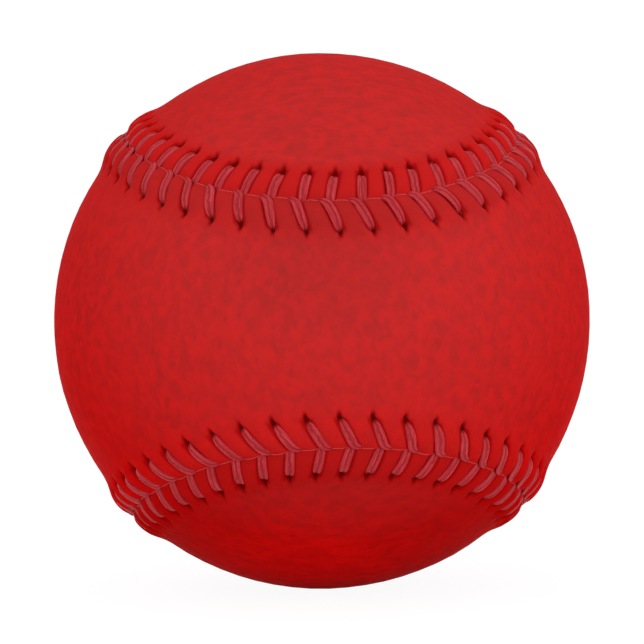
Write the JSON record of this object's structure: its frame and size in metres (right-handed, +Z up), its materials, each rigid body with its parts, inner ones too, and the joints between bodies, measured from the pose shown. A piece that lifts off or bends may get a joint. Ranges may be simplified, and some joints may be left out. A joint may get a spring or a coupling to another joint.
{
  "type": "baseball",
  "caption": "Stitched leather ball in red, with two figure-of-eight covers laced over a rubber-cased cork centre and yarn windings.",
  "frame": {"origin": "centre of the ball", "axes": "+Z up; the narrow waist of the front cover faces -Y; the narrow waist of the rear cover faces +Y"},
  "size_m": [0.0736, 0.0736, 0.0736],
  "materials": {
    "cork": "ground cork bound with rubber, dull",
    "black_rubber": "matt black rubber",
    "red_rubber": "matt red rubber",
    "grey_yarn": "grey wool yarn",
    "white_yarn": "white wool yarn",
    "cotton_yarn": "fine white cotton yarn",
    "cover_leather": "smooth dyed leather, semi-matt",
    "thread": "waxed two-ply thread"
  },
  "bodies": {
    "root": {"cork_core": "cork", "upper_black_shell": "black_rubber", "lower_black_shell": "black_rubber", "red_washer": "red_rubber", "red_rubber_layer": "red_rubber", "first_winding": "grey_yarn", "second_winding": "white_yarn", "third_winding": "grey_yarn", "finish_winding": "cotton_yarn", "front_cover": "cover_leather", "rear_cover": "cover_leather", "first_thread": "thread", "second_thread": "thread"}
  },
  "joints": []
}
